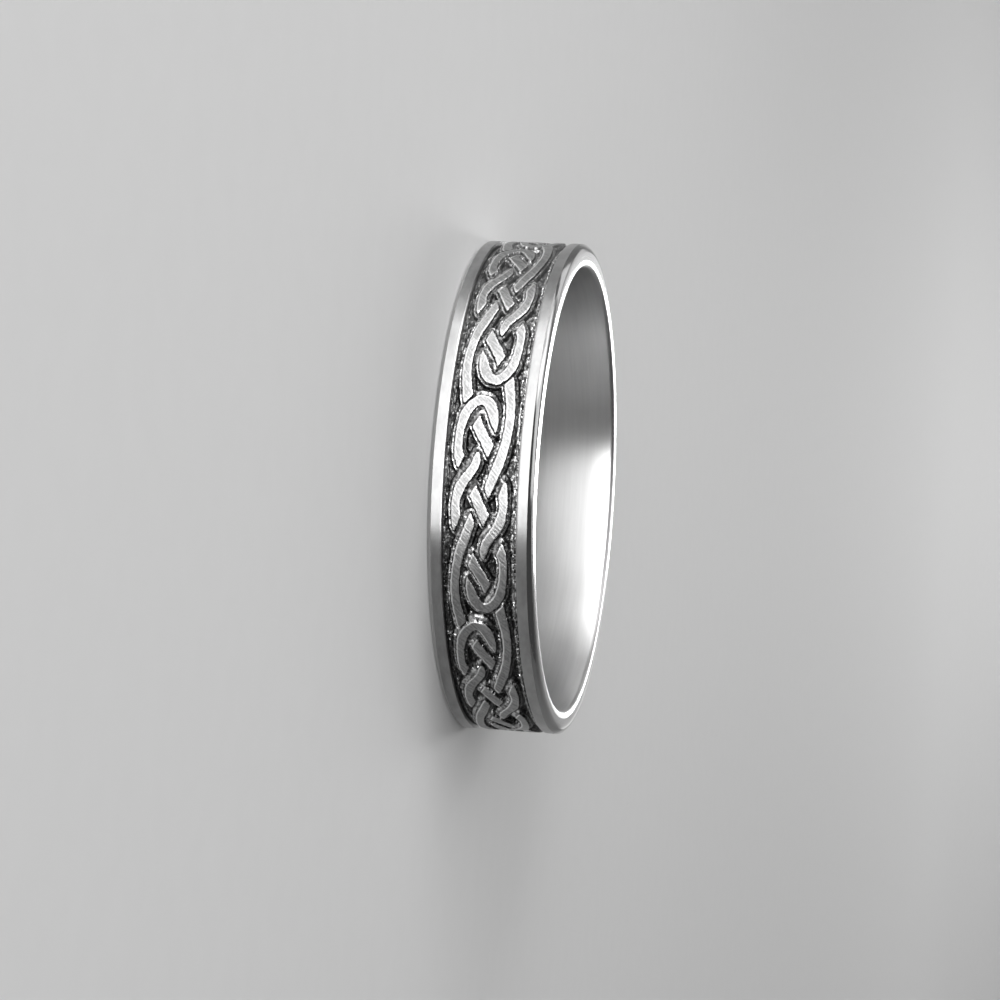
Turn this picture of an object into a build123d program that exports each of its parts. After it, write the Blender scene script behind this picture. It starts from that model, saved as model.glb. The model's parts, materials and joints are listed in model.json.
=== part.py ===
import os
from math import degrees, pi, sin

from build123d import *

# A steel wedding band, lying on one side face. Millimetres, +Z along the finger.
# The origin is the centre of the lower side face.

# driving sizes
bore_radius = 9.5
wall = 1.0
band_width = 4.3
rim_width = 0.65
channel_depth = 0.26
rim_edge_radius = 0.12
bore_edge_radius = 0.2

# fine bead line that runs round the channel floor beside each rim
bead_radius = 0.05
bead_from_rim = 0.14

# the interlace
unit_count = 7
strand_root = 0.15  # how far each strand piece reaches below the channel floor
first_unit_from_front = 0.85  # along the circumference, from -Y towards +X

# what follows from them
outer_radius = bore_radius + wall
floor_radius = outer_radius - channel_depth
middle_height = band_width / 2
half_channel = middle_height - rim_width
unit_length = 2 * pi * outer_radius / unit_count

# One unit of the interlace, charted by hand on the unrolled band. Each point is
# (along, across): along is a share of the unit's length from its middle, across a
# share of half the channel's width from the band's middle. A piece has two long
# edges, both listed from the same end, and a straight cut joins them at each end.
# Every piece but the middle bar has a twin, turned half a turn about the middle.
arch = (
    [(-0.152, -0.624), (-0.186, -0.715), (-0.225, -0.755), (-0.300, -0.757),
     (-0.360, -0.725), (-0.410, -0.635), (-0.450, -0.455), (-0.472, -0.250),
     (-0.474, -0.060), (-0.460, 0.140), (-0.425, 0.290), (-0.385, 0.350),
     (-0.340, 0.360), (-0.310, 0.320)],
    [(-0.209, -0.463), (-0.230, -0.537), (-0.275, -0.543), (-0.330, -0.515),
     (-0.375, -0.435), (-0.410, -0.315), (-0.429, -0.195), (-0.429, -0.100),
     (-0.410, -0.005), (-0.380, 0.080), (-0.340, 0.200), (-0.312, 0.292)],
)
long_strand = (
    [(-0.525, 0.393), (-0.477, 0.470), (-0.424, 0.527), (-0.371, 0.544),
     (-0.318, 0.527), (-0.265, 0.477), (-0.212, 0.386), (-0.159, 0.268),
     (-0.106, 0.164), (-0.076, 0.104)],
    [(-0.564, 0.604), (-0.552, 0.658), (-0.477, 0.738), (-0.424, 0.772),
     (-0.371, 0.782), (-0.318, 0.765), (-0.265, 0.721), (-0.212, 0.658),
     (-0.159, 0.564), (-0.106, 0.436), (-0.053, 0.309), (-0.032, 0.225)],
)
short_strand = (
    [(-0.233, -0.148), (-0.191, -0.255), (-0.164, -0.336), (-0.138, -0.456),
     (-0.111, -0.577), (-0.085, -0.671), (-0.053, -0.718), (0.000, -0.752),
     (0.053, -0.745), (0.090, -0.718), (0.115, -0.651)],
    [(-0.223, -0.067), (-0.207, -0.040), (-0.180, -0.034), (-0.154, -0.081),
     (-0.127, -0.181), (-0.095, -0.312), (-0.064, -0.416), (-0.032, -0.497),
     (0.000, -0.523), (0.048, -0.497)],
)
end_bar = (
    [(-0.336, -0.329), (-0.200, 0.154)],
    [(-0.390, -0.141), (-0.347, -0.040), (-0.258, 0.302)],
)
middle_bar = (
    [(-0.039, -0.282), (0.090, 0.117)],
    [(-0.090, -0.117), (0.039, 0.282)],
)


def ring_body():
    """The turned band: two rims, the sunk channel between them and the bore."""
    with BuildSketch(Plane.XZ) as section:
        with BuildLine():
            Polyline(
                (bore_radius, 0),
                (outer_radius, 0),
                (outer_radius, rim_width),
                (floor_radius, rim_width),
                (floor_radius, band_width - rim_width),
                (outer_radius, band_width - rim_width),
                (outer_radius, band_width),
                (bore_radius, band_width),
                close=True,
            )
        make_face()
        side_corners = section.vertices().filter_by(
            lambda corner: corner.Z < rim_width / 2 or corner.Z > band_width - rim_width / 2
        )
        inner = side_corners.filter_by(lambda corner: corner.X < floor_radius)
        fillet(inner, bore_edge_radius)
        outer = section.vertices().filter_by(
            lambda corner: corner.X > floor_radius
            and (corner.Z < rim_width / 2 or corner.Z > band_width - rim_width / 2)
        )
        fillet(outer, rim_edge_radius)
    return revolve(section.sketch, axis=Axis.Z)


def bead_line(height):
    """A half-round line that stands on the channel floor."""
    return Pos(0, 0, height) * Torus(floor_radius, bead_radius)


def edge_curve(points):
    if len(points) == 2:
        return Line(*points)
    return Spline(*points)


def strand_piece(edges, half_turn=False):
    """A raised piece of strand from its charted outline, flush with the rims."""
    sign = -1 if half_turn else 1
    charted = [
        [(sign * along * unit_length, sign * across * half_channel) for along, across in edge]
        for edge in edges
    ]
    reach = [along for edge in charted for along, across in edge]
    middle = (min(reach) + max(reach)) / 2
    first, second = [
        [(outer_radius * sin((along - middle) / outer_radius), across) for along, across in edge]
        for edge in charted
    ]
    tangent = Plane(origin=(0, 0, middle_height), x_dir=(1, 0, 0), z_dir=(0, -1, 0))
    with BuildSketch(tangent) as outline:
        with BuildLine():
            edge_curve(first)
            edge_curve(second)
            Line(first[0], second[0])
            Line(first[-1], second[-1])
        make_face()
    prism = extrude(outline.sketch, amount=outer_radius + wall)
    return Rot(0, 0, degrees(middle / outer_radius)) * (prism & strand_shell())


def strand_shell():
    """The ring of space that the strands fill, from their roots to their tops."""
    whole = Pos(0, 0, middle_height) * Cylinder(outer_radius, 2 * half_channel)
    core = Pos(0, 0, middle_height) * Cylinder(floor_radius - strand_root, band_width)
    return whole - core


def interlace_unit():
    twins = [arch, long_strand, short_strand, end_bar]
    pieces = [strand_piece(middle_bar)]
    for edges in twins:
        pieces.append(strand_piece(edges))
        pieces.append(strand_piece(edges, half_turn=True))
    return pieces


def interlace():
    unit = interlace_unit()
    pieces = []
    for number in range(unit_count):
        turn = degrees((first_unit_from_front + number * unit_length) / outer_radius)
        pieces += [Rot(0, 0, turn) * piece for piece in unit]
    return pieces


def band():
    beads = [
        bead_line(rim_width + bead_from_rim),
        bead_line(band_width - rim_width - bead_from_rim),
    ]
    return ring_body().fuse(*beads, *interlace())


os.makedirs("parts", exist_ok=True)
export_step(band(), "parts/band.step")
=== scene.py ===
import json
import math

import bpy
import numpy as np
from mathutils import Matrix, Vector, geometry, kdtree


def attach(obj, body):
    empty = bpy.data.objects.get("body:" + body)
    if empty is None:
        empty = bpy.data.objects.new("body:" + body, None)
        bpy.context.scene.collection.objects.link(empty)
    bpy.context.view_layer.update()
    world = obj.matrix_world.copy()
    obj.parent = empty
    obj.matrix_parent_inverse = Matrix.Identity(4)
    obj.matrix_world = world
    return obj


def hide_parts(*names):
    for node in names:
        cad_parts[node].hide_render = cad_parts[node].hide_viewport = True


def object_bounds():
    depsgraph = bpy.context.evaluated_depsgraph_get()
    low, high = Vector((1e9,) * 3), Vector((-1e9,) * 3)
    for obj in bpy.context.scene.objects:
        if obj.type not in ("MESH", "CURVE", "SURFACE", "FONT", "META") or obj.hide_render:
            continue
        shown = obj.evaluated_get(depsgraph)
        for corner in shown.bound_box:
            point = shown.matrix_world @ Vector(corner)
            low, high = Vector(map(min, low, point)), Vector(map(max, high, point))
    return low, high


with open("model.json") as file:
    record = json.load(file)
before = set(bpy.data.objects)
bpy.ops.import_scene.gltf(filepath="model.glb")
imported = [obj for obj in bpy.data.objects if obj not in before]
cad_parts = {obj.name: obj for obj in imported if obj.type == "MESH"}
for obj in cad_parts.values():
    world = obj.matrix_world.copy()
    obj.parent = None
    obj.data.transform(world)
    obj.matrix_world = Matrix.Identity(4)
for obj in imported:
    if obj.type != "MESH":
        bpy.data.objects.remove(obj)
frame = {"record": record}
cadLow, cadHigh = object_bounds()
mm = 0.001

# The ring, in millimetres. It lies on its lower side face, with the finger along Z.
ringMount = next(mount for mount in frame["record"]["mounts"] if mount["name"] == "finger_bore")
ring = {
    "outerRadius": (cadHigh.x - cadLow.x) / 2 / mm,
    "width": (cadHigh.z - cadLow.z) / mm,
    "boreRadius": ringMount["dims"]["r_mm"],
    "rimWidth": 0.65,
    "channelDepth": 0.26,
    "wallLean": 0.004,            # how far a rim's wall leans back on its way up
    "wallBend": 0.6,              # how far down that wall a row of points lies, as a share
    "channelEdge": 0.03,          # the rims' crisp inner edges
    "channelEdgeSteps": 2,
    "boreEdge": 0.2,              # softer rounding where the finger goes in
    "boreEdgeSteps": 4,
    "landRows": (1 / 8, 6 / 8),   # rows of points on each plain stretch, as shares of it
    "faceRows": (2 / 7, 5 / 7),
    "boreRows": (1 / 4, 2 / 4, 3 / 4),
    # from a rim over its worn facet to the side face: distance in from the rim's surface,
    # and distance down from the side face
    "wornEdge": [(0, 0.21), (0.015, 0.188), (0.075, 0.125), (0.1, 0.1),
                 (0.16, 0.055), (0.22, 0.024), (0.29, 0.006), (0.36, 0)],
}
ring["middle"] = ring["width"] / 2
ring["halfChannel"] = ring["middle"] - ring["rimWidth"]

# The interlace, in millimetres. A slope is a distance out from a strand's edge, as in
# strandSide below. Two pairs in one value are a range and what it turns into.
knot = {
    "units": 7,
    "firstFromFront": 0.85,       # along the circumference, from -Y towards +X
    "topInset": 0.012,            # how much the worn tops draw in from the charted outline
    "endRounding": 9,             # rounds of smoothing on the outlines, for the cut ends
    "wobble": 0.006,              # unsteadiness of the strands' edges
    "wobbleRounding": 30,
    "ledge": 0.11,                # width of the step below a strand's top
    "crownLedge": 0.24,           # the same where an arch turns round
    "crownBend": 0.5,             # how much sooner the metal falls there
    "softLedge": 0.6,             # how far a soft step widens towards that width
    "softAlong": ((0.15, 0.45), (0, 1)),   # a step is soft where it faces back along the band
    "softAcross": ((-0.5, 0), (0, 1)),     # and not towards the upper rim
    "beadHeight": 0.08,
    "beadFromRim": 0.14,
    "beadHalfWidth": 0.05,
    "floorGrain": 0.008,          # how far the rough floor rises and sinks
    "floorGrainSlope": ((0.165, 0.215), (0, 1)),
    "floorGrainByBead": ((0.05, 0.08), (0.2, 1)),
    "ledgeGrain": 0.004,
    "ledgeGrainSlope": ((0.02, 0.05), (0, 1)),
    "deepestGrain": 0.03,         # how far below the floor the grain may reach
    "paintedLightSide": (-0.45, -0.89),   # painted light: the sides that face this way are painted brighter
    # how much rubbed brightness and painted highlight a side keeps by its facing; sides facing away are
    # painted dark
    "rubbedAndPaintedLightByFacing": ((-0.4, 0.5), (0.12, 1)),
    "rubbedAndPaintedLightByBead": ((0.04, 0.07), (1, 0)),
    # the bead by the upper rim is painted lighter and the bead by the lower rim darker: painted light and
    # shade
    "upperBeadRubbed": 1.6,
    "lowerBeadRubbed": 0.4,
    "crispAngle": 33,             # edges that turn more than this, in degrees, look sharp
    "seed": 41,
}
knot["unit"] = 2 * math.pi * ring["outerRadius"] / knot["units"]

# A strand's side, from its edge outwards: the rounded lip, a steep wall, the ledge, and a
# second wall down to the floor. Each pair is a slope and the value there. Falls say how
# far the metal has fallen. Rubbed values say how far the blackening is rubbed off, with
# painted highlight added: the lip, the ledge's outer edge and the soft steps are painted
# bright. The soft lists hold where wear has softened the step.
wallFoot, ledgeEnd = 0.03, 0.14
strandSide = {
    "crispFall": [(-0.1, 0.0), (-0.03, 0.0), (0.006, 0.016), (wallFoot, 0.105), (0.045, 0.12),
                  (0.065, 0.12), (0.09, 0.106), (0.125, 0.106), (ledgeEnd, 0.125),
                  (0.165, 0.19), (0.19, 0.24), (0.22, ring["channelDepth"])],
    "softFall": [(-0.1, 0.0), (-0.03, 0.0), (0.006, 0.014), (wallFoot, 0.035), (0.065, 0.062),
                 (0.125, 0.095), (ledgeEnd, 0.115), (0.165, 0.19), (0.19, 0.24),
                 (0.22, ring["channelDepth"])],
    "crispRubbed": [(-0.07, 0.0), (-0.03, 0.75), (0.006, 1.0), (0.014, 0.2), (wallFoot, 0.0),
                    (0.065, 0.03), (0.09, 0.85), (0.125, 1.0), (ledgeEnd, 0.3), (0.165, 0.0)],
    "softRubbed": [(-0.07, 0.0), (-0.03, 0.75), (0.006, 1.0), (0.014, 1.0), (wallFoot, 1.0),
                   (0.065, 1.15), (0.09, 1.3), (0.125, 1.4), (ledgeEnd, 0.9), (0.165, 0.1)],
}

# How fine the interlace's mesh is, in millimetres where nothing else is said
knotMesh = {
    "outlineStep": 0.01,
    "sideReach": 0.5,         # how far from a strand its side is looked for
    "gridPitch": 0.02,
    "rimMargin": 0.03,        # no loose points this near to a rim
    "rimSteps": 94,           # points along each rim for one unit
    "edgeSpacing": 0.05,      # between points along a strand's edge
    # slope, spacing along it, and the least gap to the slopes before it, as shares of that
    "contours": [(0.006, 1, 0.4), (-0.03, 1, 0.5), (wallFoot, 1, 0.4), (0.09, 1, 0.5),
                 (0.125, 1, 0.5), (0.065, 1.3, 0.45), (ledgeEnd + 0.015, 1.2, 0.5),
                 (0.19, 1.2, 0.6), (0.23, 1.6, 0.8), (-0.07, 1.8, 0.7)],
    "beadRows": (-1.0, 0.0, 1.0, -0.6, 0.6),   # shares of the bead's half width
    "beadSpacing": 0.019,
    "tries": 18000,           # loose points that are tried for the floor and ledges
    "floorSlope": 0.23,
    "floorSpacing": 0.042,
    "ledgeSlopes": (0.065, 0.13),
    "cell": 0.13,             # wider than any gap
    "seamOverlap": 0.8,       # how much of its neighbours is laid round a unit
    "sameWithin": 1e-7,
}

# One unit, charted: (along, across) as shares of the unit's length and of half
# the channel. Each piece has two long edges from the same end, and all but the middle
# bar have a twin, turned half a turn about the unit's middle.
twins = {
    "arch": (
        [(-0.152, -0.624), (-0.186, -0.715), (-0.225, -0.755), (-0.300, -0.757),
         (-0.360, -0.725), (-0.410, -0.635), (-0.450, -0.455), (-0.472, -0.250),
         (-0.474, -0.060), (-0.460, 0.140), (-0.425, 0.290), (-0.385, 0.350),
         (-0.340, 0.360), (-0.310, 0.320)],
        [(-0.209, -0.463), (-0.230, -0.537), (-0.275, -0.543), (-0.330, -0.515),
         (-0.375, -0.435), (-0.410, -0.315), (-0.429, -0.195), (-0.429, -0.100),
         (-0.410, -0.005), (-0.380, 0.080), (-0.340, 0.200), (-0.312, 0.292)],
    ),
    "longStrand": (
        [(-0.525, 0.393), (-0.477, 0.470), (-0.424, 0.527), (-0.371, 0.544),
         (-0.318, 0.527), (-0.265, 0.477), (-0.212, 0.386), (-0.159, 0.268),
         (-0.106, 0.164), (-0.076, 0.104)],
        [(-0.564, 0.604), (-0.552, 0.658), (-0.477, 0.738), (-0.424, 0.772),
         (-0.371, 0.782), (-0.318, 0.765), (-0.265, 0.721), (-0.212, 0.658),
         (-0.159, 0.564), (-0.106, 0.436), (-0.053, 0.309), (-0.032, 0.225)],
    ),
    "shortStrand": (
        [(-0.233, -0.148), (-0.191, -0.255), (-0.164, -0.336), (-0.138, -0.456),
         (-0.111, -0.577), (-0.085, -0.671), (-0.053, -0.718), (0.000, -0.752),
         (0.053, -0.745), (0.090, -0.718), (0.115, -0.651)],
        [(-0.223, -0.067), (-0.207, -0.040), (-0.180, -0.034), (-0.154, -0.081),
         (-0.127, -0.181), (-0.095, -0.312), (-0.064, -0.416), (-0.032, -0.497),
         (0.000, -0.523), (0.048, -0.497)],
    ),
    "endBar": (
        [(-0.336, -0.329), (-0.200, 0.154)],
        [(-0.390, -0.141), (-0.347, -0.040), (-0.258, 0.302)],
    ),
}
middleBar = (
    [(-0.039, -0.282), (0.090, 0.117)],
    [(-0.090, -0.117), (0.039, 0.282)],
)


def smoothEdge(points):
    # a soft curve through the charted points, which are already in millimetres
    p = np.array(points, float)
    p = np.vstack([2 * p[0] - p[1], p, 2 * p[-1] - p[-2]])
    out = []
    for a, b, c, d in zip(p[:-3], p[1:-2], p[2:-1], p[3:]):
        count = max(2, int(np.linalg.norm(c - b) / knotMesh["outlineStep"]))
        t = np.linspace(0, 1, count, endpoint=False)[:, None]
        out.append(b + 0.5 * t * (c - a + t * (2 * a - 5 * b + 4 * c - d + t * (3 * (b - c) + d - a))))
    return np.vstack(out + [p[-2:-1]])


def rounded(line, rounds):
    # evens out a closed line, or the values along it
    for smoothing in range(rounds):
        line = (np.roll(line, 1, 0) + 2 * line + np.roll(line, -1, 0)) / 4
    return line


def strandOutline(edges, halfTurn=False):
    # a closed line round one piece, with its cut ends a little rounded
    size = np.array([knot["unit"], ring["halfChannel"]]) * (-1 if halfTurn else 1)
    first, second = [smoothEdge(np.array(edge) * size) for edge in edges]
    loop = np.vstack([first, second[::-1]])
    gaps = np.linalg.norm(np.roll(loop, -1, 0) - loop, axis=1)
    walked = np.concatenate([[0], np.cumsum(gaps)])
    even = np.arange(0, walked[-1], knotMesh["outlineStep"])
    closed = np.vstack([loop, loop[:1]])
    loop = np.stack([np.interp(even, walked, closed[:, k]) for k in (0, 1)], 1)
    sway = rounded(np.random.default_rng(len(loop)).normal(0, 1, len(loop)), knot["wobbleRounding"])
    loop = rounded(loop, knot["endRounding"])
    heading = np.roll(loop, -1, 0) - np.roll(loop, 1, 0)
    outward = np.stack([heading[:, 1], -heading[:, 0]], 1) / np.linalg.norm(heading, axis=1)[:, None]
    return loop + outward * (sway / sway.std() * knot["wobble"])[:, None]


def insideLoop(points, loop):
    # which points lie inside a closed line
    x, y = points[:, 0], points[:, 1]
    found = np.zeros(len(points), bool)
    for (x1, y1), (x2, y2) in zip(loop, np.roll(loop, -1, 0)):
        if y1 != y2:
            crosses = (y1 > y) != (y2 > y)
            found ^= crosses & (x < (x2 - x1) * (y - y1) / (y2 - y1) + x1)
    return found


class Strand:
    # one raised piece of the interlace, as its outline on the unrolled band
    def __init__(self, loop, crown):
        self.loop, self.crown = loop, crown
        self.low = loop.min(0) - knotMesh["sideReach"]
        self.high = loop.max(0) + knotMesh["sideReach"]
        self.tree = kdtree.KDTree(len(loop))
        for i, (x, y) in enumerate(loop):
            self.tree.insert((x, y, 0), i)
        self.tree.balance()

    def slopeAt(self, points):
        # where each point is on the strand's side (below zero on its top), how far the
        # side there faces the way that is painted lit, and how soft wear has made its step
        slope, facing, soft = np.ones(len(points)), np.zeros(len(points)), np.zeros(len(points))
        near = np.where(((points > self.low) & (points < self.high)).all(1))[0]
        if not len(near):
            return slope, facing, soft
        found = [self.tree.find((x, y, 0)) for x, y in points[near]]
        foot = np.array([f[0][:2] for f in found])
        away = np.array([f[2] for f in found])
        outward = (points[near] - foot) / np.maximum(away, 1e-6)[:, None]
        inside = insideLoop(points[near], self.loop)
        outward[inside] *= -1
        away[inside] *= -1
        away += knot["topInset"]
        crown = np.clip(-outward[:, 0], 0, 1) ** 2 * self.crown
        facing[near] = outward @ np.array(knot["paintedLightSide"])
        soft[near] = (np.interp(-outward[:, 0], *knot["softAlong"])
                      * np.interp(-outward[:, 1], *knot["softAcross"]))
        widest = np.maximum(crown, knot["softLedge"] * soft[near])
        ledge = knot["ledge"] + (knot["crownLedge"] - knot["ledge"]) * widest
        share = np.clip((away - wallFoot) / ledge, 0, 1) ** (1 - knot["crownBend"] * crown)
        onLedge = wallFoot + share * (ledgeEnd - wallFoot)
        beyond = away - wallFoot - ledge + ledgeEnd
        slope[near] = np.select([away < wallFoot, away < wallFoot + ledge], [away, onLedge], beyond)
        return slope, facing, soft


def slopeOf(points, strands):
    # the same for whichever strand is nearest to each point
    found = [np.array(rows) for rows in zip(*[strand.slopeAt(points) for strand in strands])]
    nearest, every = found[0].argmin(0), np.arange(len(points))
    return [rows[nearest, every] for rows in found]


def sideValue(kind, slope, soft):
    # reads the crisp and the soft list of one kind and blends them by softness
    crisp, worn = [np.interp(slope, *zip(*strandSide[step + kind])) for step in ("crisp", "soft")]
    return crisp * (1 - soft) + worn * soft


def fromBead(points):
    # how far each point is from the middle of the nearer bead line
    return np.abs(np.abs(points[:, 1]) - (ring["halfChannel"] - knot["beadFromRim"]))


def fallAt(points, slope, soft):
    # how deep the metal lies below the rims at each point of the channel
    share = fromBead(points) / knot["beadHalfWidth"]
    bead = knot["beadHeight"] * np.sqrt(np.clip(1 - share ** 2, 0, 1))
    return np.minimum(sideValue("Fall", slope, soft), ring["channelDepth"] - bead)


def grainAt(points, slope):
    # how far the rough metal rises and sinks at each point of the channel
    floor = np.interp(slope, *knot["floorGrainSlope"])
    floor *= np.interp(fromBead(points), *knot["floorGrainByBead"])
    ledge = np.interp(slope, *knot["ledgeGrainSlope"]) * (1 - floor)
    return knot["floorGrain"] * floor + knot["ledgeGrain"] * ledge


def rubbedAndPaintedLightAt(points, slope, facing, soft):
    # how far each point is rubbed bright and painted lit, from 0 to 1 and a little over
    # painted light and shade: sides facing paintedLightSide are painted bright, the others stay dark
    worn = sideValue("Rubbed", slope, soft) * np.interp(facing, *knot["rubbedAndPaintedLightByFacing"])
    # painted light and shade on the bead: the upper bead lighter, the lower darker
    strength = np.where(points[:, 1] > 0, knot["upperBeadRubbed"], knot["lowerBeadRubbed"])
    bead = np.interp(fromBead(points), *knot["rubbedAndPaintedLightByBead"]) * strength
    return np.maximum(worn, np.where(slope > ledgeEnd, bead, 0))


def contourPoints(level, field, alongs, acrosses):
    # where the field crosses a level on the lines of a fine grid
    out = []
    pitch = alongs[1] - alongs[0]
    for axis in (0, 1):
        a = field[:-1] if axis == 0 else field[:, :-1]
        b = field[1:] if axis == 0 else field[:, 1:]
        i, j = np.where((a - level) * (b - level) < 0)
        share = (level - a[i, j]) / (b[i, j] - a[i, j]) * pitch
        out.append(np.stack([alongs[i] + (share if axis == 0 else 0),
                             acrosses[j] + (share if axis == 1 else 0)], 1))
    return np.vstack(out)


class Scatter:
    # keeps points apart on the unit, which closes on itself along the band
    def __init__(self, length):
        self.length, self.cell, self.cells, self.points = length, knotMesh["cell"], {}, []
        self.columns = int(length / self.cell)

    def key(self, p):
        return int((p[0] / self.length + 0.5) * self.columns) % self.columns, int(p[1] // self.cell)

    def clear(self, p, gap):
        column, row = self.key(p)
        for i in range(column - 1, column + 2):
            for j in range(row - 1, row + 2):
                for q in self.cells.get((i % self.columns, j), ()):
                    along = abs(p[0] - q[0])
                    along = min(along, self.length - along)
                    if along * along + (p[1] - q[1]) ** 2 < gap * gap:
                        return False
        return True

    def add(self, points, gap=0.0):
        for p in points:
            if gap == 0 or self.clear(p, gap):
                self.cells.setdefault(self.key(p), []).append(p)
                self.points.append(p)


def addContours(scatter, strands):
    # points along the strands' edges, from the lines of equal slope
    length, pitch = scatter.length, knotMesh["gridPitch"]
    inner = ring["halfChannel"] - knotMesh["rimMargin"]
    alongs = np.arange(-length / 2 - 2 * pitch, length / 2 + 2 * pitch, pitch)
    acrosses = np.arange(-inner, inner, pitch)
    grid = np.stack(np.meshgrid(alongs, acrosses, indexing="ij"), -1).reshape(-1, 2)
    field = slopeOf(grid, strands)[0].reshape(len(alongs), len(acrosses))
    spacing = knotMesh["edgeSpacing"]
    for level, along, between in knotMesh["contours"]:
        found = contourPoints(level, field, alongs, acrosses)
        found[:, 0] = (found[:, 0] + length / 2) % length - length / 2
        layer = Scatter(length)
        for p in map(tuple, found[np.lexsort((found[:, 1], found[:, 0]))]):
            if layer.clear(p, spacing * along) and scatter.clear(p, spacing * between):
                layer.add([p])
                scatter.add([p])


def unitPoints(strands):
    # all the points of one unit of the channel, thick along the strands' edges
    length, half, steps = knot["unit"], ring["halfChannel"], knotMesh["rimSteps"]
    scatter = Scatter(length)
    alongs = (np.arange(steps) + 0.5) / steps * length - length / 2
    for side in (-1, 1):
        scatter.add([(a, side * half) for a in alongs])
    addContours(scatter, strands)
    for share in knotMesh["beadRows"]:
        row = half - knot["beadFromRim"] + knot["beadHalfWidth"] * share
        for side in (-1, 1):
            scatter.add([(a, side * row) for a in alongs], knotMesh["beadSpacing"])
    rng = np.random.default_rng(knot["seed"])
    loose = rng.uniform((-length / 2, -half), (length / 2, half), (knotMesh["tries"], 2))
    slope = slopeOf(loose, strands)[0]
    low, high = knotMesh["ledgeSlopes"]
    inside = np.abs(loose[:, 1]) < half - knotMesh["rimMargin"]
    for chosen, gap in ((slope > knotMesh["floorSlope"], knotMesh["floorSpacing"]),
                        ((slope > low) & (slope < high), knotMesh["edgeSpacing"])):
        scatter.add(map(tuple, loose[chosen & inside]), gap)
    return np.array(scatter.points)


def unitTriangles(points):
    # one unit's triangles, each corner as (point, unit it belongs to): the neighbours'
    # edges are laid round the unit, so the units join up
    length = knot["unit"]
    copies, owners = [points], [np.stack([np.arange(len(points)), np.zeros(len(points), int)], 1)]
    for shift in (-1, 1):
        moved = points + (shift * length, 0)
        near = np.abs(moved[:, 0]) < length / 2 + knotMesh["seamOverlap"]
        copies.append(moved[near])
        owners.append(np.stack([np.where(near)[0], np.full(near.sum(), shift)], 1))
    laid, owners = np.vstack(copies), np.vstack(owners)
    found = geometry.delaunay_2d_cdt([Vector(p) for p in laid], [], [], 0, knotMesh["sameWithin"])
    source = np.array([o[0] for o in found[3]])
    faces = source[np.array(found[2])]
    middles = laid[faces][:, :, 0].mean(1)
    faces = faces[(middles >= -length / 2) & (middles < length / 2)]
    a, b, c = (laid[faces[:, k]] for k in range(3))
    turn = (b[:, 0] - a[:, 0]) * (c[:, 1] - a[:, 1]) - (b[:, 1] - a[:, 1]) * (c[:, 0] - a[:, 0])
    faces[turn < 0] = faces[turn < 0][:, ::-1]
    return owners[faces]


def unitStrands():
    # the pieces of one unit, and those of its neighbours that reach into it
    length = knot["unit"]
    outlines = [(strandOutline(middleBar), 0)]
    for name, edges in twins.items():
        for turned in (False, True):
            crown = int(name == "arch" and not turned)
            outlines.append((strandOutline(edges, turned), crown))
    strands = [Strand(loop + (shift * length, 0), crown)
               for shift in (-1, 0, 1) for loop, crown in outlines]
    return [s for s in strands if s.high[0] > -length / 2 and s.low[0] < length / 2]


def arc(centre, radius, start, end, steps):
    angles = np.radians(np.linspace(start, end, steps + 1))
    return [(centre[0] + radius * math.cos(a), centre[1] + radius * math.sin(a)) for a in angles]


def between(start, end, shares):
    return [start + (end - start) * share for share in shares]


def rimProfile():
    # (radius, height, finish) from the channel's upper foot over the rim and down to the bore
    outer, bore, top = ring["outerRadius"], ring["boreRadius"], ring["width"]
    crisp, soft, lean = ring["channelEdge"], ring["boreEdge"], ring["wallLean"]
    foot = ring["middle"] + ring["halfChannel"]
    landStart, landEnd = foot + lean + crisp, top - ring["wornEdge"][0][1]
    faceStart = outer - ring["wornEdge"][-1][0]

    profile = [(outer - ring["channelDepth"] * ring["wallBend"], foot + lean / 2, "channelFloor")]
    inner = arc((outer - crisp, landStart), crisp, -90, 0, ring["channelEdgeSteps"])
    land = [(outer, z) for z in between(landStart, landEnd, ring["landRows"])]
    profile += [(*p, "rims") for p in inner + land]
    profile += [(outer - inward, top - down, "sideFaces" if inward else "rims")
                for inward, down in ring["wornEdge"]]
    profile += [(r, top, "sideFaces") for r in between(faceStart, bore + soft, ring["faceRows"])]
    profile += [(*p, "bore") for p in arc((bore + soft, top - soft), soft, 90, 180, ring["boreEdgeSteps"])]
    return profile


def turnedRows():
    # the same profile up one side and down the other, with the bore's wall between
    upper, top, soft = rimProfile(), ring["width"], ring["boreEdge"]
    wall = [(ring["boreRadius"], z, "bore") for z in between(top - soft, soft, ring["boreRows"])]
    return upper + wall + [(r, top - z, finish) for r, z, finish in reversed(upper)]


def onCircle(radius, angle, height):
    # points round the finger's axis, whose angle runs from -Y towards +X
    return np.stack(np.broadcast_arrays(radius * np.sin(angle), -radius * np.cos(angle), height), 1)


finishes = ["strandTops", "channelFloor", "rims", "sideFaces", "bore"]   # the mesh's material slots


def channelPart(points, triangles, slope, soft):
    # the channel's points, faces and finishes, unit by unit round the ring
    units, count, outer = knot["units"], len(points), ring["outerRadius"]
    fall, grain = fallAt(points, slope, soft), grainAt(points, slope)
    deepest = ring["channelDepth"] + knot["deepestGrain"]
    rng = np.random.default_rng(knot["seed"] + 1)
    verts, faces = [], []
    for unit in range(units):
        rough = rng.normal(0, 1, count) * grain
        rough[:2 * knotMesh["rimSteps"]] = 0   # the first points lie along the two rims
        radius = outer - np.clip(fall + rough, 0, deepest)
        angle = (points[:, 0] + knot["firstFromFront"] + unit * knot["unit"]) / outer
        verts.append(onCircle(radius, angle, ring["middle"] + points[:, 1]))
        faces += (((triangles[:, :, 1] + unit) % units) * count + triangles[:, :, 0]).tolist()
    onTop = slope[triangles[:, :, 0]].mean(1) < 0
    slots = np.where(onTop, finishes.index("strandTops"), finishes.index("channelFloor"))
    return verts, faces, slots.tolist() * units


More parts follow.
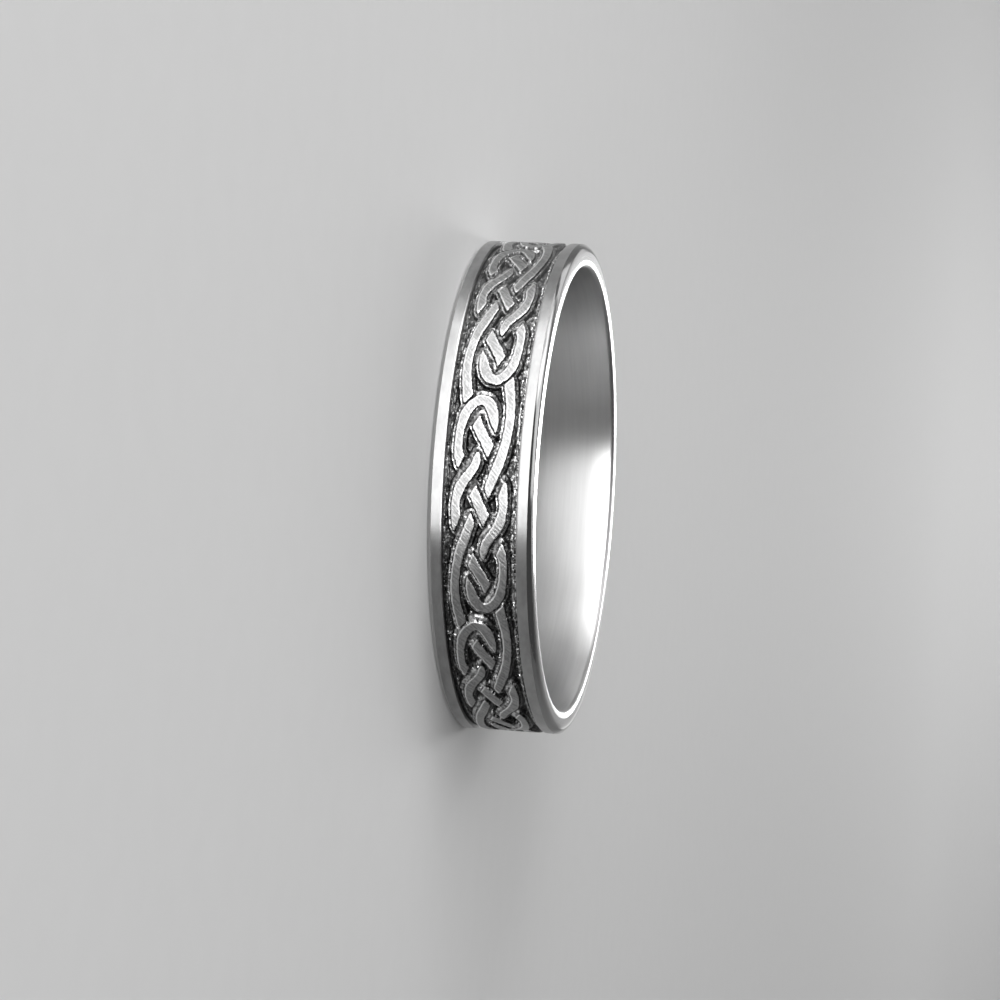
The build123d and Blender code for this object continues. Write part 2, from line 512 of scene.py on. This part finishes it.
def turnedPart(points):
    # the rims, side faces and bore, turned from the channel's points along the two rims
    units, count, steps = knot["units"], len(points), knotMesh["rimSteps"]
    turns = np.arange(units)[:, None]
    angles = (points[:steps, 0] + turns * knot["unit"]).ravel() + knot["firstFromFront"]
    angles /= ring["outerRadius"]
    border = (np.arange(steps) + turns * count).ravel()
    rows = turnedRows()
    verts = [onCircle(r, angles, z) for r, z, finish in rows]
    ids = [border + steps]
    ids += [np.arange(len(angles)) + units * count + number * len(angles) for number in range(len(rows))]
    ids.append(border)
    kinds = ["channelFloor"] + [finish for r, z, finish in rows] + ["channelFloor"]
    upperHalf = len(rows) // 2
    faces, slots = [], []
    for k, (low, high) in enumerate(zip(ids[:-1], ids[1:])):
        kind = finishes.index(kinds[k] if k > upperHalf else kinds[k + 1])
        faces += np.stack([low, np.roll(low, -1), np.roll(high, -1), high], 1).tolist()
        slots += [kind] * len(low)
    return verts, faces, slots


def buildBand():
    # the whole ring as one closed mesh
    strands = unitStrands()
    points = unitPoints(strands)
    triangles = unitTriangles(points)
    slope, facing, soft = slopeOf(points, strands)
    print("channel: one unit has", len(points), "points and", len(triangles), "triangles")

    verts, faces, slots = [a + b for a, b in zip(channelPart(points, triangles, slope, soft),
                                                 turnedPart(points))]
    verts = np.vstack(verts)
    # the rubbed brightness and painted highlight of each channel point, kept as an attribute for the
    # finishes
    rubbed = np.zeros(len(verts))
    rubbed[:knot["units"] * len(points)] = np.tile(rubbedAndPaintedLightAt(points, slope, facing, soft), knot["units"])
    mesh = bpy.data.meshes.new("band")
    mesh.from_pydata((verts * mm).tolist(), [], faces)
    mesh.polygons.foreach_set("material_index", slots)
    mesh.polygons.foreach_set("use_smooth", [True] * len(faces))
    mesh.attributes.new("rubbed", "FLOAT", "POINT").data.foreach_set("value", rubbed)
    mesh.update()
    mesh.set_sharp_from_angle(angle=math.radians(knot["crispAngle"]))
    piece = bpy.data.objects.new("ringBand", mesh)
    bpy.context.scene.collection.objects.link(piece)
    print("band:", sum(len(f) - 2 for f in faces), "triangles")
    return piece


class Finish:
    # a material and short ways to add its nodes
    def __init__(self, name, grey, roughness, brushed=0.0, metallic=1):
        self.material = bpy.data.materials.new(name)
        self.material.use_nodes = True
        self.tree = self.material.node_tree
        self.shader = self.tree.nodes["Principled BSDF"]
        self.shader.inputs["Base Color"].default_value = (grey, grey, grey, 1)
        self.shader.inputs["Metallic"].default_value = metallic
        self.shader.inputs["Roughness"].default_value = roughness
        if brushed:
            # turned on a lathe, so the light spreads across the circles
            self.shader.inputs["Anisotropic"].default_value = brushed
            self.shader.inputs["Anisotropic Rotation"].default_value = 0.25
            tangent = self.add("Tangent", direction_type="RADIAL", axis="Z")
            self.join(tangent.outputs["Tangent"], self.shader.inputs["Tangent"])
        place = self.add("TexCoord").outputs["Object"]
        self.place = self.maths("MULTIPLY", place, (1 / mm,) * 3, vector=True)   # in millimetres

    def add(self, kind, **settings):
        node = self.tree.nodes.new("ShaderNode" + kind)
        for key, value in settings.items():
            setattr(node, key, value)
        return node

    def join(self, output, target):
        self.tree.links.new(output, target)

    def colourFrom(self, output):
        self.join(output, self.shader.inputs["Base Color"])

    def roughnessFrom(self, output):
        self.join(output, self.shader.inputs["Roughness"])

    def maths(self, operation, first, second=None, vector=False):
        node = self.add("VectorMath" if vector else "Math", operation=operation)
        for target, value in zip(node.inputs, (first, second)):
            if value is None:
                continue
            if isinstance(value, (int, float, tuple)):
                target.default_value = value
            else:
                self.join(value, target)
        return node.outputs["Value"] if operation == "LENGTH" else node.outputs[0]

    def noise(self, place, scale=1.0, detail=2.0, roughness=0.5, stretch=None):
        if stretch:
            place = self.maths("MULTIPLY", place, stretch, vector=True)
        node = self.add("TexNoise")
        self.join(place, node.inputs["Vector"])
        node.inputs["Scale"].default_value = scale
        node.inputs["Detail"].default_value = detail
        node.inputs["Roughness"].default_value = roughness
        return node.outputs["Fac"]

    def remap(self, value, low, high, fromLow=0.3, fromHigh=0.7):
        # moves a value from one range to another; noise mostly lies between 0.3 and 0.7
        node = self.add("MapRange")
        self.join(value, node.inputs["Value"])
        for key, number in (("From Min", fromLow), ("From Max", fromHigh),
                            ("To Min", low), ("To Max", high)):
            node.inputs[key].default_value = number
        return node.outputs["Result"]

    def ramp(self, value, stops):
        node = self.add("ValToRGB")
        self.join(value, node.inputs["Fac"])
        for element, (where, grey) in zip(node.color_ramp.elements, stops):
            element.position = where
            element.color = (grey, grey, grey, 1)
        return node.outputs["Color"]

    def mix(self, factor, first, second):
        node = self.add("Mix", data_type="RGBA")
        for socket, value in ((0, factor), (6, first), (7, second)):
            if isinstance(value, float):
                node.inputs[socket].default_value = (value, value, value, 1)
            else:
                self.join(value, node.inputs[socket])
        return node.outputs[2]

    def bump(self, height, distance, before=None):
        node = self.add("Bump")
        self.join(height, node.inputs["Height"])
        node.inputs["Distance"].default_value = distance * mm
        if before:
            self.join(before, node.inputs["Normal"])
        self.join(node.outputs["Normal"], self.shader.inputs["Normal"])
        return node.outputs["Normal"]

    def combine(self, x, y, z=None):
        node = self.add("CombineXYZ")
        for target, value in zip(node.inputs, (x, y, z)):
            if value is not None:
                self.join(value, target)
        return node.outputs[0]

    def split(self, vector):
        node = self.add("SeparateXYZ")
        self.join(vector, node.inputs[0])
        return node.outputs

    def unrolled(self):
        # along the circumference and across the band, in millimetres, and both as one place
        x, y, z = self.split(self.place)
        angle = self.maths("ARCTAN2", x, self.maths("MULTIPLY", y, -1.0))
        along = self.maths("MULTIPLY", angle, ring["outerRadius"])
        return along, z, self.combine(along, z)


# The finishes. Grey, roughness and brushed are the plain values. Stretches and fineness
# are per millimetre, depths are millimetres, and greys are a ramp's two stops. Pairs are
# the lowest and highest value, and in sets of four the last two say over which range.
steel = {
    "strandTops": {
        "grey": 0.36, "roughness": 0.42, "brushed": 0.6,
        "acrossHatch": 10.0, "alongHatch": 0.9, "hatchDepth": 0.011, "hatchShare": 0.65,
        "toothFineness": 11, "toothDepth": 0.01,
        "cloudFineness": 2.5, "cloudRoughness": (0.38, 0.47),
        "greys": [(0.43, 0.245), (0.57, 0.38)], "rubbedAndPaintedLightGrey": 0.95,
    },
    "channelFloor": {
        "grey": 0.1, "roughness": 0.42, "brushed": 0.0,
        "grainFineness": 9, "grainDepth": 0.016,
        "blotchFineness": 3, "blotchRoughness": (0.3, 0.46),
        "rubbedAndPaintedLightByBlotch": (0.4, 1.0, 0.4, 0.6), "rubbedAndPaintedLightByGrain": (0.2, 1.1, 0.4, 0.58),
        "speckle": (0, 0.42, 0.55, 0.68),
        "paintedLightAt": 16.5,   # where the painted light is centred, along the circumference towards -X
        # the patina's grey, lightened by painted light near that place and its own dark grey further off
        "blackAndPaintedLight": (0.13, 0.022, 4, 12.5), "rubbedAndPaintedLightGrey": 0.7,
    },
    "rims": {
        "grey": 0.37, "roughness": 0.33, "brushed": 0.87,
        "lineStretch": (0.12, 0.12, 14), "lineDepth": 0.0003, "lineRoughness": (0.31, 0.35),
        "patchStretch": (0.9, 0.9, 1.8), "greys": [(0.35, 0.31), (0.6, 0.39)],
    },
    "sideFaces": {
        "grey": 0.5, "roughness": 0.12, "brushed": 0.0,
        "circleFineness": 18.0, "lineStretch": (0.4, 0.4, 0.4), "lineDepth": 0.0005,
        "lineRoughness": (0.1, 0.13), "greys": [(0.25, 0.46), (0.75, 0.53)],
    },
    "bore": {
        "grey": 0.5, "roughness": 0.34, "brushed": 0.6,
        "lineStretch": (0.3, 0.3, 9), "lineDepth": 0.0004, "greys": [(0.2, 0.47), (0.8, 0.53)],
        "hazeFineness": 0.5, "hazeRoughness": (0.32, 0.36),
    },
}


def startFinish(name):
    values = steel[name]
    return Finish(name, values["grey"], values["roughness"], values["brushed"]), values


def strandSteel():
    # flat tops with slanting hatch marks and a fine tooth
    f, values = startFinish("strandTops")
    along, across, flat = f.unrolled()
    hatch = f.noise(f.combine(
        f.maths("MULTIPLY", f.maths("SUBTRACT", along, across), values["acrossHatch"]),
        f.maths("MULTIPLY", f.maths("ADD", along, across), values["alongHatch"])), detail=1)
    tooth = f.noise(flat, values["toothFineness"], detail=1, roughness=0.6)
    cloud = f.noise(flat, values["cloudFineness"])
    grain = f.maths("ADD", f.maths("MULTIPLY", hatch, values["hatchShare"]),
                    f.maths("MULTIPLY", tooth, 1 - values["hatchShare"]))
    rubbed = f.add("Attribute", attribute_name="rubbed").outputs["Fac"]
    # rubbed places and the painted highlights on lips and ledges take the light grey
    f.colourFrom(f.mix(rubbed, f.ramp(grain, values["greys"]), values["rubbedAndPaintedLightGrey"]))
    f.roughnessFrom(f.remap(cloud, *values["cloudRoughness"]))
    f.bump(tooth, values["toothDepth"], before=f.bump(hatch, values["hatchDepth"]))
    return f.material


def channelSteel():
    # blackened floor and ledges, rubbed bright in patches with painted highlight; painted light makes the
    # black lighter towards the -X side
    f, values = startFinish("channelFloor")
    along, _, flat = f.unrolled()
    grain = f.noise(flat, values["grainFineness"], detail=3, roughness=0.7)
    blotch = f.noise(flat, values["blotchFineness"])
    rubbed = f.add("Attribute", attribute_name="rubbed").outputs["Fac"]
    # rubbed brightness together with painted highlight, made patchy
    worn = f.maths("MULTIPLY", rubbed, f.remap(blotch, *values["rubbedAndPaintedLightByBlotch"]))
    patchy = f.maths("MULTIPLY", worn, f.remap(grain, *values["rubbedAndPaintedLightByGrain"]))
    bright = f.maths("MAXIMUM", patchy, f.remap(grain, *values["speckle"]))
    # painted light: the floor is lighter round one place on the -X side
    fromPaintedLight = f.maths("ABSOLUTE", f.maths("ADD", along, values["paintedLightAt"]))
    blackAndPaintedLight = f.remap(fromPaintedLight, *values["blackAndPaintedLight"])
    f.colourFrom(f.mix(bright, blackAndPaintedLight, values["rubbedAndPaintedLightGrey"]))
    f.roughnessFrom(f.remap(blotch, *values["blotchRoughness"]))
    f.bump(grain, values["grainDepth"])
    return f.material


def rimSteel():
    # fine lines left by turning, and soft uneven patches
    f, values = startFinish("rims")
    lines = f.noise(f.place, stretch=values["lineStretch"])
    patches = f.noise(f.place, detail=3, roughness=0.6, stretch=values["patchStretch"])
    f.colourFrom(f.ramp(patches, values["greys"]))
    f.roughnessFrom(f.remap(lines, *values["lineRoughness"]))
    f.bump(lines, values["lineDepth"])
    return f.material


def sideSteel():
    # circles of a fine satin brush
    f, values = startFinish("sideFaces")
    radius = f.maths("LENGTH", f.place, vector=True)
    x, y = f.split(f.maths("MULTIPLY", f.place, values["lineStretch"], vector=True))[:2]
    circles = f.combine(f.maths("MULTIPLY", radius, values["circleFineness"]), x, y)
    lines = f.noise(circles, detail=3, roughness=0.6)
    f.colourFrom(f.ramp(lines, values["greys"]))
    f.roughnessFrom(f.remap(lines, *values["lineRoughness"]))
    f.bump(lines, values["lineDepth"])
    return f.material


def boreSteel():
    # a plain satin wall with fine circles
    f, values = startFinish("bore")
    lines = f.noise(f.place, detail=3, roughness=0.6, stretch=values["lineStretch"])
    haze = f.noise(f.place, values["hazeFineness"])
    f.colourFrom(f.ramp(lines, values["greys"]))
    f.roughnessFrom(f.remap(haze, *values["hazeRoughness"]))
    f.bump(lines, values["lineDepth"])
    return f.material


band = buildBand()
# in the order of finishes
for material in (strandSteel(), channelSteel(), rimSteel(), sideSteel(), boreSteel()):
    band.data.materials.append(material)
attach(band, "root")
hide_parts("band")
print("band: its five finishes are on")

camera = {
    "place": (0.0, -119.12, 24.45),   # millimetres from the middle of the lower side face
    "aim": (0.627, 0.0, 0.907),
    "roll": 93.04,                    # the picture's up is the ring's -X side
    "lens": 101.25,
    "sensor": 36,
    "nearest": 0.005,                 # metres
    "farthest": 20,
}

studio = {
    "floorGrey": 0.62,
    "floorMottle": 0.004,   # how much lighter and darker the paint is in places
    "floorCloud": 0.6,      # how fine those places are
    "floorRoughness": 0.75,
    "floorGloss": 0.2,
    "flatRadius": 0.55,     # metres of level floor before the sweep turns up
    "flatRings": 6,
    "sweepRadius": 0.35,
    "sweepRings": 10,
    "wallTop": 0.9,
    "sides": 96,
    "worldGrey": 0.08,
}

# Upright panels on the ring's -X side. Azimuth is measured from the camera's side (-Y)
# towards +X. Here and below sizes are metres, and glow is how bright the panel itself is.
panels = {
    "frontStrip": {"azimuth": -15, "distance": 0.3, "low": 0.0, "high": 0.1, "wide": 0.42, "glow": 13},
    "sideStrip": {"azimuth": -65, "distance": 0.26, "low": 0.0, "high": 0.09, "wide": 0.13, "glow": 10},
    "fadeStrip": {"azimuth": -87, "distance": 0.27, "low": 0.0, "high": 0.09, "wide": 0.08, "glow": 3.5},
    "backStrip": {"azimuth": -120, "distance": 0.3, "low": 0.0, "high": 0.06, "wide": 0.25, "glow": 0.4},
}

# Softboxes that face their aim. Those for the upper side face stand behind the ring,
# where it mirrors them. A fan narrows a box's light, in degrees.
softboxes = {
    "keyBox": {"place": (-0.1, 0, 0.1), "aim": (0, 0, 0), "wide": 0.1, "tall": 0.1, "glow": 1.0},
    "sideFacePanel": {"place": (-0.018, 0.75, 0.36), "aim": (-0.018, 0, 0.36),
                      "wide": 0.084, "tall": 0.46, "glow": 12.0},
    "sideFaceWash": {"place": (-0.145, 0.75, 0.36), "aim": (-0.145, 0, 0.36),
                     "wide": 0.17, "tall": 0.46, "glow": 0.55},
    "shoulderBox": {"place": (-0.45, 0.6, 0.47), "aim": (0, 0, 0),
                    "wide": 0.4, "tall": 0.25, "glow": 0.9},
    "farFacePanel": {"place": (0.03, 0.75, 0.095), "aim": (0.03, 0, 0.095),
                     "wide": 0.26, "tall": 0.06, "glow": 0.9},
    "topBox": {"place": (-0.2, 0, 0.55), "aim": (-0.2, -0.02, 0),
               "wide": 0.45, "tall": 0.24, "glow": 1.1},
    "edgeBox": {"place": (0.035, 0.32, 0.55), "aim": (0, 0.1, 0),
                "wide": 0.13, "tall": 0.36, "glow": 0.9},
    "backWash": {"place": (-0.2, 0.28, 0.45), "aim": (0, 0.3, 0),
                 "wide": 0.4, "tall": 0.4, "glow": 0.3, "fan": 80},
}


def face(thing, place, aim, roll=0):
    # stands a camera or a light at its place and turns it to the aim
    turn = (Vector(aim) - Vector(place)).to_track_quat("-Z", "Y")
    thing.location = place
    thing.rotation_mode = "QUATERNION"
    thing.rotation_quaternion = turn @ Matrix.Rotation(math.radians(roll), 3, "Z").to_quaternion()
    bpy.context.scene.collection.objects.link(thing)


def addCamera():
    data = bpy.data.cameras.new("camera")
    data.lens = camera["lens"]
    data.sensor_width = camera["sensor"]
    data.clip_start = camera["nearest"]
    data.clip_end = camera["farthest"]
    cam = bpy.data.objects.new("camera", data)
    face(cam, Vector(camera["place"]) * mm, Vector(camera["aim"]) * mm, camera["roll"])
    bpy.context.scene.camera = cam


def addSoftbox(name, place, aim, wide, tall, glow, fan=180):
    light = bpy.data.lights.new(name, "AREA")
    light.shape = "RECTANGLE"
    light.size, light.size_y = wide, tall
    light.energy = glow * math.pi * wide * tall
    light.spread = math.radians(fan)
    lamp = bpy.data.objects.new(name, light)
    lamp.visible_camera = False
    face(lamp, place, aim)


def addPanel(name, azimuth, distance, low, high, wide, glow):
    angle, height = math.radians(azimuth), (low + high) / 2
    place = (distance * math.sin(angle), -distance * math.cos(angle), height)
    addSoftbox(name, place, (0, 0, height), wide, high - low, glow)


def sweepPaint():
    # matt paint, a little uneven
    grey, mottle = studio["floorGrey"], studio["floorMottle"]
    f = Finish("sweepPaint", grey, studio["floorRoughness"], metallic=0)
    f.shader.inputs["Specular IOR Level"].default_value = studio["floorGloss"]
    cloud = f.noise(f.place, studio["floorCloud"], detail=3)
    f.colourFrom(f.ramp(cloud, [(0.3, grey - mottle), (0.7, grey + mottle)]))
    return f.material


def addSweep():
    # a round sweep: level floor, a quarter turn up and a low wall
    flat, bend, sides = studio["flatRadius"], studio["sweepRadius"], studio["sides"]
    line = [(r, 0.0) for r in np.linspace(0, flat, studio["flatRings"] + 1)[1:]]
    line += [(flat + bend * math.sin(a), bend - bend * math.cos(a))
             for a in np.linspace(0, math.pi / 2, studio["sweepRings"] + 1)[1:]]
    line += [(flat + bend, studio["wallTop"])]
    angles = [2 * math.pi * s / sides for s in range(sides)]
    verts = [(0, 0, 0)] + [(r * math.cos(a), r * math.sin(a), z) for r, z in line for a in angles]
    faces = [(0, 1 + s, 1 + (s + 1) % sides) for s in range(sides)]
    for k in range(len(line) - 1):
        a, b = 1 + k * sides, 1 + (k + 1) * sides
        faces += [(a + s, b + s, b + (s + 1) % sides, a + (s + 1) % sides) for s in range(sides)]
    mesh = bpy.data.meshes.new("sweep")
    mesh.from_pydata(verts, [], faces)
    mesh.polygons.foreach_set("use_smooth", [True] * len(faces))
    mesh.materials.append(sweepPaint())
    sweep = bpy.data.objects.new("studioSweep", mesh)
    bpy.context.scene.collection.objects.link(sweep)


def addWorld():
    world = bpy.data.worlds.new("studio")
    bpy.context.scene.world = world
    world.use_nodes = True
    world.node_tree.nodes["Background"].inputs["Color"].default_value = (*(studio["worldGrey"],) * 3, 1)


addCamera()
addSweep()
addWorld()
for name, values in panels.items():
    addPanel(name, **values)
for name, values in softboxes.items():
    addSoftbox(name, **values)
bpy.context.scene.view_settings.view_transform = "Standard"
print("studio: camera, sweep and lights are in place")
